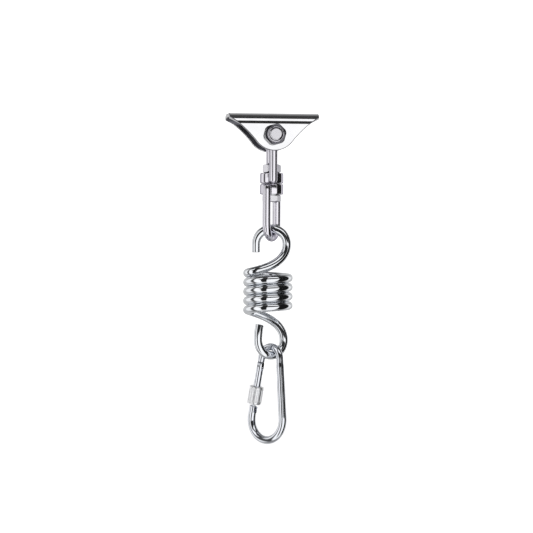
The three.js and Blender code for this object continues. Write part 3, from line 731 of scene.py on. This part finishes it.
def bead(path, radius=0.75):
    """A weld bead with the ripples of a moving weld pool."""
    lengths = np.cumsum([0.0] + [(b - a).length for a, b in zip(path, path[1:])])
    ripple = 1 + 0.16 * np.sin(lengths * 2 * np.pi / 1.3) + 0.06 * np.sin(lengths * 2.9)
    return sweep(path, radius * ripple, sides=14, edge=0.3)


def make_upper_yoke():
    """The pivot's barrel, the two rods under it and the hub that they are welded to."""
    bore = BUSH_RADIUS + GAP
    barrel = tube(bore, BARREL_RADIUS, -BARREL_HALF_LENGTH, BARREL_HALF_LENGTH, [0.3, 0.9, 0.9, 0.3])
    hub = tube(SWIVEL_HOLE_RADIUS, HUB_RADIUS, *UPPER_HUB, [0.4, 1.4, 1.4, 0.4])
    low = UPPER_HUB[0]
    shells, beads = [moved(barrel, PIVOT), hub], []
    for side in (-1, 1):
        foot = Vector((0, side * UPPER_BOW_HALF_WIDTH, low + 0.4))
        top = foot.copy()
        top.z = PIVOT_Z - bore - 0.4
        shells.append(sweep(line(foot, top), ROD_RADIUS, sides=48, edge=ROD_RADIUS * 0.55))
        beads.append(bead(weld_path(Vector((0, side, 0)), UPPER_BOW_HALF_WIDTH, UPPER_HUB, low + 0.4)))
        ring = []
        for i in range(72):
            angle = 2 * math.pi * i / 72
            x = (ROD_RADIUS + 0.25) * math.cos(angle)
            y = side * UPPER_BOW_HALF_WIDTH + (ROD_RADIUS + 0.05) * math.sin(angle)
            ring.append(Vector((x, y, PIVOT_Z - math.sqrt(BARREL_RADIUS ** 2 - x * x))))
        beads.append(sweep(ring, 0.6, sides=12, closed=True))
    obj = mesh_object("upper_yoke_welded", join(*shells))
    piece(smooth(obj), "upper_swivel", BOW_CHROME, "polished_steel", "upper_yoke")
    obj = mesh_object("upper_yoke_weld_beads", join(*beads))
    piece(smooth(obj, 60), "upper_swivel", WELD, "polished_steel")


def make_lower_yoke():
    """The hub that holds the bearing, and the bow that the spring hangs from."""
    low, high = LOWER_HUB
    section = [(BEARING_SEAT_RADIUS, low), (HUB_RADIUS, low), (HUB_RADIUS, high),
               (SWIVEL_HOLE_RADIUS, high), (SWIVEL_HOLE_RADIUS, BEARING_SEAT_Z),
               (BEARING_SEAT_RADIUS, BEARING_SEAT_Z), (BEARING_SEAT_RADIUS, low)]
    hub = lathe(eased(section, [0.3, 1.2, 1.4, 0.4, 0.2, 0.2]))
    direction = along(LOWER_BOW_TURN)
    centre = Vector((0, 0, BOW_BEND_Z + LOWER_BOW_HALF_WIDTH))
    foot = direction * LOWER_BOW_HALF_WIDTH
    top_z = Vector((0, 0, high - 0.6))
    path = line(-foot + top_z, -foot + centre)[:-1]
    path += arc(centre, LOWER_BOW_HALF_WIDTH, direction, 180, 360)
    path += line(foot + centre, foot + top_z)[1:]
    bow = sweep(path, ROD_RADIUS, sides=48, edge=ROD_RADIUS * 0.55)
    obj = mesh_object("lower_yoke_welded", join(hub, bow))
    piece(smooth(obj), "lower_swivel", BOW_CHROME, "polished_steel", "lower_yoke")
    beads = [bead(weld_path(direction * side, LOWER_BOW_HALF_WIDTH, LOWER_HUB, high - 0.6))
             for side in (-1, 1)]
    obj = mesh_object("lower_yoke_weld_beads", join(*beads))
    piece(smooth(obj, 60), "lower_swivel", WELD, "polished_steel")


def make_swivel_bolt():
    """The upright bolt that joins the two hubs, and its nut."""
    low, high = SWIVEL_HEAD
    head = hexagon(SWIVEL_ACROSS_FLATS, low, high)
    plain = rod(SWIVEL_BOLT_RADIUS, high - 1, SWIVEL_THREAD_START + 1, edge=0.3, segments=96)
    thread = threaded(SWIVEL_BOLT_RADIUS, SWIVEL_THREAD_START, SWIVEL_BOLT_TOP, SWIVEL_THREAD_PITCH)
    obj = mesh_object("swivel_bolt_threaded", join(head, plain, thread))
    piece(smooth(obj), "upper_swivel", PLATED, "plated_steel", "swivel_bolt")
    nut = hexagon(SWIVEL_ACROSS_FLATS, *SWIVEL_NUT, bore=SWIVEL_HOLE_RADIUS)
    obj = mesh_object("swivel_hex_nut", nut)
    piece(smooth(obj), "upper_swivel", PLATED, "plated_steel", "swivel_nut")


def make_bearing():
    """The thrust bearing in the lower hub: two races and the balls in their cage."""
    track = (RACE_INNER + RACE_OUTER) / 2
    lower = SWIVEL_HEAD[1] + GAP
    upper = BEARING_SEAT_Z - GAP - RACE_THICKNESS
    groove = [(track + 0.8, 0), (track + 0.4, 0.22), (track - 0.4, 0.22), (track - 0.8, 0)]
    for name, body, low in (("lower", "upper_swivel", lower), ("upper", "lower_swivel", upper)):
        high = low + RACE_THICKNESS
        if name == "lower":
            section = [(RACE_INNER, low), (RACE_OUTER, low), (RACE_OUTER, high),
                       *((r, high - depth) for r, depth in groove), (RACE_INNER, high), (RACE_INNER, low)]
        else:
            section = [(RACE_INNER, low), *((r, low + depth) for r, depth in reversed(groove)),
                       (RACE_OUTER, low), (RACE_OUTER, high), (RACE_INNER, high), (RACE_INNER, low)]
        obj = mesh_object(f"thrust_race_{name}_ground", lathe(eased(section, 0.15)))
        piece(smooth(obj), body, BEARING, "bearing_steel", f"thrust_race_{name}")
    middle = lower + RACE_THICKNESS + GAP + BALL_RADIUS
    shells = [tube(RACE_INNER + 0.3, RACE_OUTER - 0.3, middle - 0.4, middle + 0.4, 0.15)]
    half_circle = [(BALL_RADIUS * math.cos(a), BALL_RADIUS * math.sin(a))
                   for a in np.linspace(-math.pi / 2, math.pi / 2, 17)]
    half_circle[0] = (0.0, -BALL_RADIUS)
    half_circle[-1] = (0.0, BALL_RADIUS)
    ball = lathe(half_circle, 32)
    for i in range(BALL_COUNT):
        angle = 2 * math.pi * i / BALL_COUNT
        place = Matrix.Translation((track * math.cos(angle), track * math.sin(angle), middle))
        shells.append(moved(ball, place))
    obj = mesh_object("thrust_balls_in_cage", join(*shells))
    piece(smooth(obj), "lower_swivel", BEARING, "bearing_steel", "thrust_ball_cage")


# ---- Spring --------------------------------------------------------------------------------------
def coil_point(turns):
    """A point of the coil's middle line, so many turns down from its top."""
    angle = math.pi - 2 * math.pi * turns
    return Vector((COIL_OFFSET + COIL_RADIUS * math.cos(angle), COIL_RADIUS * math.sin(angle),
                   COIL_TOP_Z - COIL_PITCH * turns))


def make_spring():
    """Both hooks and the coil are one wire, so they are one piece, which hangs between two bodies but is
    attached to neither.
    """
    lead = Vector((0, 1, -COIL_PITCH / (2 * math.pi * COIL_RADIUS))).normalized()
    upper, lower = along(UPPER_HOOK_TURN), along(LOWER_HOOK_TURN)
    top = Vector((0, 0, UPPER_HOOK_Z))
    bottom = Vector((0, 0, LOWER_HOOK_Z))
    tip = top - upper * HOOK_RADIUS
    path = line(tip - Vector((0, 0, UPPER_TIP_LENGTH)), tip, 1.0)[:-1]
    path += arc(top, HOOK_RADIUS, upper, 180, 0)
    down = Vector((0, 0, -HOOK_PULL))
    path += bezier(top + upper * HOOK_RADIUS, down, coil_point(0), lead * -COIL_PULL)[1:]
    steps = COIL_TURNS * 72
    path += [coil_point(i * COIL_TURNS / steps) for i in range(1, steps)]
    right = bottom + lower * HOOK_RADIUS
    path += bezier(coil_point(COIL_TURNS), lead * COIL_PULL, right, -down)
    path += arc(bottom, HOOK_RADIUS, lower, 0, -180)[1:]
    for i in range(1, 13):
        t = i / 12
        point = bottom + lower * (LOWER_TIP_LEAN * t * t - HOOK_RADIUS)
        point.z += LOWER_TIP_LENGTH * t
        path.append(point)
    obj = mesh_object("spring_wire", sweep(path, SPRING_WIRE_RADIUS, sides=40, edge=0.5))
    smooth(obj)
    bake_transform(obj)
    nodes = ("spring_upper_hook", "spring_coil", "spring_lower_hook")
    piece(obj, None, SPRING_STEEL, "spring_steel", *nodes)


# ---- Carabiner -----------------------------------------------------------------------------------
UPRIGHT = Vector((1, 0, 0))
NARROW = Vector((NARROW_CENTRE[0], 0, NARROW_CENTRE[1]))
WIDE = Vector((WIDE_CENTRE[0], 0, WIDE_CENTRE[1]))
BETWEEN = WIDE - NARROW
AXIS_ANGLE = math.degrees(math.atan2(BETWEEN.z, BETWEEN.x))
SPREAD = math.degrees(math.acos((NARROW_RADIUS - WIDE_RADIUS) / BETWEEN.length))
SPINE_ANGLE = AXIS_ANGLE + SPREAD
GATE_ANGLE = AXIS_ANGLE - SPREAD


def on_circle(centre, radius, angle):
    return arc(centre, radius, UPRIGHT, angle, angle)[0]


GATE_TOP = on_circle(NARROW, NARROW_RADIUS, GATE_ANGLE)
GATE_BOTTOM = on_circle(WIDE, WIDE_RADIUS, GATE_ANGLE)
GATE_LINE = (GATE_BOTTOM - GATE_TOP).normalized()
GATE_PIVOT = GATE_TOP + GATE_LINE * ((NARROW.z - GATE_PIVOT_DROP - GATE_TOP.z) / GATE_LINE.z)
GATE_TILT = math.atan2(-GATE_LINE.x, -GATE_LINE.z)
CARABINER = Matrix.Rotation(math.radians(CARABINER_TURN), 4, "Z")
# the gate's own frame: its pivot at the origin and the gate hanging along -Z
GATE_IN_CARABINER = Matrix.Translation(GATE_PIVOT) @ Matrix.Rotation(GATE_TILT, 4, "Y")
GATE = CARABINER @ GATE_IN_CARABINER
ACROSS = Matrix.Rotation(math.pi / 2, 4, "X")


def prism(outline, half_width):
    """A prism along Y from (x, z) points."""
    count = len(outline)
    points = [(x, y, z) for y in (-half_width, half_width) for x, z in outline]
    faces = [tuple(range(count)), tuple(range(2 * count - 1, count - 1, -1))]
    faces += [(i, (i + 1) % count, count + (i + 1) % count, count + i) for i in range(count)]
    return points, faces


def make_carabiner_body():
    """The bent wire, with the nose's notch cut in it and the tongue that the gate's fork sits on."""
    shoulder = GATE_FORK_RADIUS + GAP + 0.15
    wire_end = GATE_PIVOT - GATE_LINE * shoulder
    nose_end = GATE_PIVOT + GATE_LINE * NOSE_START
    path = line(wire_end, GATE_TOP, 1.0)[:-1]
    path += arc(NARROW, NARROW_RADIUS, UPRIGHT, GATE_ANGLE + 360, SPINE_ANGLE)
    spine_top = path[-1]
    path += line(spine_top, on_circle(WIDE, WIDE_RADIUS, SPINE_ANGLE), 1.0)[1:-1]
    path += arc(WIDE, WIDE_RADIUS, UPRIGHT, SPINE_ANGLE, GATE_ANGLE)
    path += line(GATE_BOTTOM, nose_end, 1.0)[1:]
    # the wire is drawn a little thinner round the narrow end, down to a shoulder on the spine
    thin, shoulder_z = 0.22, GATE_PIVOT.z + 0.4
    radii = []
    for point in path:
        ease = min(1.0, max(0.0, (point.z - shoulder_z) / 1.2)) if point.x > 0 else 1.0
        near_top = point.z > shoulder_z - 2
        radii.append(CARABINER_WIRE_RADIUS - (thin * ease if near_top else 0.0))
    obj = mesh_object("carabiner_wire", moved(sweep(path, radii, sides=44, edge=0.45), CARABINER))
    room = GATE_TIP_RADIUS + NOTCH_ROOM
    notch_floor = GATE_LENGTH + GATE_TIP_RADIUS + 2 * GAP
    notch = box((-room, -room, -notch_floor), (CUT_REACH, room, -NOSE_START + 1))
    slant = [(CUT_REACH, -NOSE_START + 1), (-CUT_REACH, -NOSE_START + 1),
             (-CUT_REACH, -NOSE_START + 0.2), (CUT_REACH, -NOSE_START - 1.6)]
    cut(obj, moved(notch, GATE), moved(prism(slant, CUT_REACH), GATE))
    half_disc = [(TONGUE_RADIUS * math.cos(a), TONGUE_RADIUS * math.sin(a))
                 for a in np.linspace(math.pi, 2 * math.pi, 25)]
    outline = [(-TONGUE_RADIUS, TONGUE_RISE)] + half_disc + [(TONGUE_RADIUS, TONGUE_RISE)]
    tongue = mesh_object("tongue", moved(prism(outline, TONGUE_THICKNESS / 2), GATE))
    cut(tongue, moved(rod(PIN_HOLE_RADIUS, -CUT_REACH, CUT_REACH), GATE @ ACROSS))
    absorb(obj, tongue)
    piece(smooth(obj), "carabiner_frame", CARABINER_STEEL, "carabiner_steel", "carabiner_body")


def make_gate():
    """The gate's forked rod, the rivet that it turns on, and the plunger and spring that shut it."""
    thread_end = GATE_LENGTH - GATE_TIP_LENGTH
    thread_start = SLEEVE_START + 0.4
    profile = [(0, -thread_end), (GATE_RADIUS - 0.7, -thread_end), (GATE_RADIUS, -thread_end + 0.8),
               (GATE_RADIUS, 2.2), (GATE_RADIUS - 0.35, GATE_FORK_RADIUS - 0.35),
               (0, GATE_FORK_RADIUS)]
    shaft = mesh_object("gate_rod", moved(lathe(eased(profile, 0.5), 64), GATE))
    slot_floor = -(GATE_FORK_RADIUS + GAP)
    slot = box((-CUT_REACH, -SLOT_WIDTH / 2, slot_floor), (CUT_REACH, SLOT_WIDTH / 2, CUT_REACH))
    bore = rod(PLUNGER_BORE_RADIUS, slot_floor - PLUNGER_BORE_LENGTH, slot_floor + 1)
    pin_hole = moved(rod(PIN_HOLE_RADIUS, -CUT_REACH, CUT_REACH), ACROSS)
    corner = [(-CUT_REACH, CUT_REACH), (-CUT_REACH, -0.2)]
    corner += [(GATE_FORK_RADIUS * math.cos(a), GATE_FORK_RADIUS * math.sin(a))
               for a in np.linspace(math.pi, 0, 33)]
    corner += [(CUT_REACH, -0.2), (CUT_REACH, CUT_REACH)]
    cut(shaft, *(moved(s, GATE) for s in (slot, bore, pin_hole, prism(corner, CUT_REACH))))
    thread = threaded(GATE_RADIUS + 0.3, -thread_end + 0.5, -thread_start, 1.0, end_edge=0.4)
    tip = sweep(line((0, 0, -thread_end + 1), (0, 0, -GATE_LENGTH)), GATE_TIP_RADIUS, edge=0.2)
    foot = moved(rod(GATE_TIP_RADIUS + 0.05, -GATE_TIP_RADIUS, GATE_TIP_RADIUS, edge=0.3),
                 Matrix.Translation((0, 0, -GATE_LENGTH)) @ ACROSS)
    absorb(shaft, mesh_object("gate_end", moved(join(thread, tip, foot), GATE)))
    piece(smooth(shaft), "gate_assembly", CARABINER_STEEL, "carabiner_steel", "gate")

    reach = GATE_RADIUS - 0.1
    obj = mesh_object("gate_rivet", moved(rod(PIN_RADIUS, -reach, reach, edge=0.25), GATE @ ACROSS))
    piece(smooth(obj), "carabiner_frame", BEARING, "bearing_steel", "gate_pin")

    top = -(GATE_FORK_RADIUS + 0.1)
    plunger = rod(PLUNGER_RADIUS, top - PLUNGER_LENGTH, top, edge=0.45)
    obj = mesh_object("gate_plunger_turned", moved(plunger, GATE))
    piece(smooth(obj), "gate_assembly", BEARING, "bearing_steel", "gate_plunger")
    high, low = top - PLUNGER_LENGTH - 0.5, slot_floor - PLUNGER_BORE_LENGTH + 0.5
    steps = GATE_SPRING_TURNS * 24
    path = []
    for i in range(steps + 1):
        point = GATE_SPRING_RADIUS * along(360 * i / 24)
        point.z = high + (low - high) * i / steps
        path.append(point)
    spring = sweep(path, GATE_SPRING_WIRE_RADIUS, sides=10, edge=0.05)
    obj = mesh_object("gate_spring_wire", moved(spring, GATE))
    piece(smooth(obj, 60), "gate_assembly", SPRING_STEEL, "spring_steel", "gate_spring")


def make_sleeve():
    """The fluted lock sleeve round the gate."""
    low, high = -SLEEVE_START - SLEEVE_LENGTH, -SLEEVE_START
    edge, rim, depth = 0.8, 1.5, 0.3
    turn = np.linspace(0, math.pi / 2, 6)
    start = [(low + edge * (1 - math.cos(t)), SLEEVE_RADIUS - edge + edge * math.sin(t)) for t in turn]
    end = [(low + high - z, r) for z, r in reversed(start)]
    body = [(z, SLEEVE_RADIUS) for z in np.linspace(low + rim, high - rim, 28)]
    rows = start + body + end
    segments = SLEEVE_FLUTES * 12
    points = []

    def flute(angle, z):
        inside = min(z - low - rim, high - rim - z) / 0.9
        if inside <= 0:
            return 0.0
        return depth * min(1.0, inside) ** 0.5 * max(0.0, math.cos(SLEEVE_FLUTES * angle)) ** 0.6

    for z, r in rows:
        for k in range(segments):
            angle = 2 * math.pi * k / segments
            reach = r - flute(angle, z)
            points.append((reach * math.cos(angle), reach * math.sin(angle), z))
    inner = [(SLEEVE_BORE_RADIUS + 0.5, high), (SLEEVE_BORE_RADIUS, high - 0.5),
             (SLEEVE_BORE_RADIUS, low + 0.5), (SLEEVE_BORE_RADIUS + 0.5, low)]
    for r, z in inner:
        for k in range(segments):
            angle = 2 * math.pi * k / segments
            points.append((r * math.cos(angle), r * math.sin(angle), z))
    faces = grid_faces(len(rows) + len(inner), segments, caps=False, closed=True)
    obj = mesh_object("lock_sleeve_fluted", moved((points, faces), GATE))
    piece(smooth(obj, 50), "sleeve", SATIN, "sleeve_steel", "lock_sleeve")


# ---- Studio --------------------------------------------------------------------------------------
def ramp(nodes, stops):
    """A colour ramp of greys from (position, grey) pairs."""
    node = nodes.new("ShaderNodeValToRGB")
    elements = node.color_ramp.elements
    while len(elements) < len(stops):
        elements.new(1.0)
    for element, (position, grey) in zip(elements, stops):
        element.position = position
        element.color = (grey, grey, grey * 1.02, 1)
    return node


def make_world():
    """A white studio. What metal reflects of it has the dark gaps between the light panels."""
    world = bpy.data.worlds.new("studio")
    bpy.context.scene.world = world
    world.use_nodes = True
    nodes, links = world.node_tree.nodes, world.node_tree.links
    background = nodes["Background"]
    place = nodes.new("ShaderNodeTexCoord")
    split = nodes.new("ShaderNodeSeparateXYZ")
    links.new(place.outputs["Generated"], split.inputs["Vector"])

    def math_node(operation, *values):
        node = nodes.new("ShaderNodeMath")
        node.operation = operation
        for socket, value in zip(node.inputs, values):
            if isinstance(value, (int, float)):
                socket.default_value = value
            else:
                links.new(value, socket)
        return node.outputs["Value"]

    front = math_node("MULTIPLY", split.outputs["Y"], -1.0)

    def turn_share(sine, cosine):
        """An angle as a share of a turn, 0.5 being straight ahead."""
        angle = math_node("ARCTAN2", sine, cosine)
        return math_node("MULTIPLY_ADD", angle, 1 / (2 * math.pi), 0.5)

    rise = turn_share(split.outputs["Z"], front)
    around = turn_share(split.outputs["X"], front)

    def at(degrees):
        return 0.5 + degrees / 360

    over = ramp(nodes, [(0.0, 0.6), (at(-130), 0.55), (at(-105), 0.25), (at(-88), 0.3), (at(-76), 1.1),
                        (at(4.5), 1.15), (at(6.5), 0.03), (at(34), 0.02), (at(37), 1.2), (at(58), 1.2),
                        (at(61), 0.03), (at(100), 0.06), (at(130), 0.35), (at(155), 0.6), (1.0, 0.7)])
    links.new(rise, over.inputs["Fac"])
    a = CAMERA_AZIMUTH
    sides = ramp(nodes, [(0.0, 0.5), (at(a - 160), 0.6), (at(a - 130), 1.05), (at(a - 92), 1.0),
                         (at(a - 84), 0.08), (at(a - 72), 0.08), (at(a - 64), 1.15), (at(a - 35), 1.15),
                         (at(a - 32), 0.02), (at(a - 6), 0.02), (at(a - 3), 1.15), (at(a + 52), 1.15),
                         (at(a + 55), 0.01), (at(a + 110), 0.01), (at(a + 120), 1.05),
                         (at(a + 150), 0.9), (1.0, 0.5)])
    links.new(around, sides.inputs["Fac"])

    # the bands overhead run across the front, and end before the far left and right
    reach = math_node("ABSOLUTE", split.outputs["X"])
    fade = ramp(nodes, [(0.0, 0.0), (0.62, 0.0), (0.82, 1.0), (1.0, 1.0)])
    links.new(reach, fade.inputs["Fac"])
    overhead = math_node("MAXIMUM", over.outputs["Color"], fade.outputs["Color"])
    # the upright gaps end above and below
    height = math_node("ABSOLUTE", split.outputs["Z"])
    lift = ramp(nodes, [(0.0, 0.0), (0.78, 0.0), (0.95, 1.0), (1.0, 1.0)])
    links.new(height, lift.inputs["Fac"])
    upright = math_node("MAXIMUM", sides.outputs["Color"], lift.outputs["Color"])
    seen = math_node("MINIMUM", overhead, upright)

    path = nodes.new("ShaderNodeLightPath")
    glossy = path.outputs["Is Glossy Ray"]
    plain = math_node("SUBTRACT", 1.0, glossy)
    strength = math_node("MULTIPLY_ADD", seen, glossy, math_node("MULTIPLY", plain, 1.3))
    background.inputs["Color"].default_value = (1.0, 1.0, 1.0, 1)
    links.new(strength, background.inputs["Strength"])


def make_floor():
    """A plain pale floor that can be seen through from below."""
    size = 60000.0
    z = FLOOR_Z / MM
    floor = mesh_object("studio_floor", ([(-size, -size, z), (size, -size, z), (size, size, z),
                                          (-size, size, z)], [(0, 1, 2, 3)]))
    material = bpy.data.materials.new("pale_floor")
    material.use_nodes = True
    shader = material.node_tree.nodes["Principled BSDF"]
    shader.inputs["Base Color"].default_value = (0.88, 0.88, 0.89, 1)
    shader.inputs["Roughness"].default_value = 0.7
    nodes, links = material.node_tree.nodes, material.node_tree.links
    side = nodes.new("ShaderNodeNewGeometry")
    clear = nodes.new("ShaderNodeBsdfTransparent")
    mix = nodes.new("ShaderNodeMixShader")
    links.new(side.outputs["Backfacing"], mix.inputs["Fac"])
    links.new(shader.outputs["BSDF"], mix.inputs[1])
    links.new(clear.outputs["BSDF"], mix.inputs[2])
    links.new(mix.outputs["Shader"], nodes["Material Output"].inputs["Surface"])
    floor.data.materials.append(material)
    floor.visible_glossy = False


def soft_light(name, location, size, watts):
    light = bpy.data.lights.new(name, "AREA")
    light.shape = "RECTANGLE"
    light.size, light.size_y = size
    light.energy = watts
    obj = bpy.data.objects.new(name, light)
    obj.location = location
    aim = Vector((0, 0, MIDDLE_HEIGHT)) - Vector(location)
    obj.rotation_mode = "QUATERNION"
    obj.rotation_quaternion = aim.to_track_quat("-Z", "Y")
    obj.visible_glossy = False
    obj.visible_camera = False
    bpy.context.scene.collection.objects.link(obj)


def make_camera():
    azimuth = math.radians(CAMERA_AZIMUTH)
    elevation = math.radians(CAMERA_ELEVATION)
    back = Vector((math.sin(azimuth) * math.cos(elevation), -math.cos(azimuth) * math.cos(elevation),
                   math.sin(elevation)))
    right = Vector((math.cos(azimuth), math.sin(azimuth), 0))
    camera = bpy.data.cameras.new("camera")
    camera.lens = CAMERA_LENS
    obj = bpy.data.objects.new("camera", camera)
    obj.location = back * CAMERA_DISTANCE - right * AXIS_OFFSET + Vector((0, 0, MIDDLE_HEIGHT))
    obj.rotation_mode = "QUATERNION"
    roll = Matrix.Rotation(math.radians(CAMERA_ROLL), 4, "Z").to_quaternion()
    obj.rotation_quaternion = (-back).to_track_quat("-Z", "Y") @ roll
    bpy.context.scene.collection.objects.link(obj)
    bpy.context.scene.camera = obj


make_bracket()
make_pivot_bolt()
make_pivot_nut()
make_bushes()
make_upper_yoke()
make_lower_yoke()
make_swivel_bolt()
make_bearing()
make_spring()
make_carabiner_body()
make_gate()
make_sleeve()

make_world()
make_floor()
soft_light("key_light", (0.9, -1.1, 0.8), (1.2, 1.2), 30)
soft_light("fill_light", (-1.1, -0.9, 0.3), (1.4, 1.4), 12)
soft_light("top_light", (0.0, 0.2, 1.4), (1.6, 1.6), 25)
make_camera()
bpy.context.scene.view_settings.view_transform = "Standard"
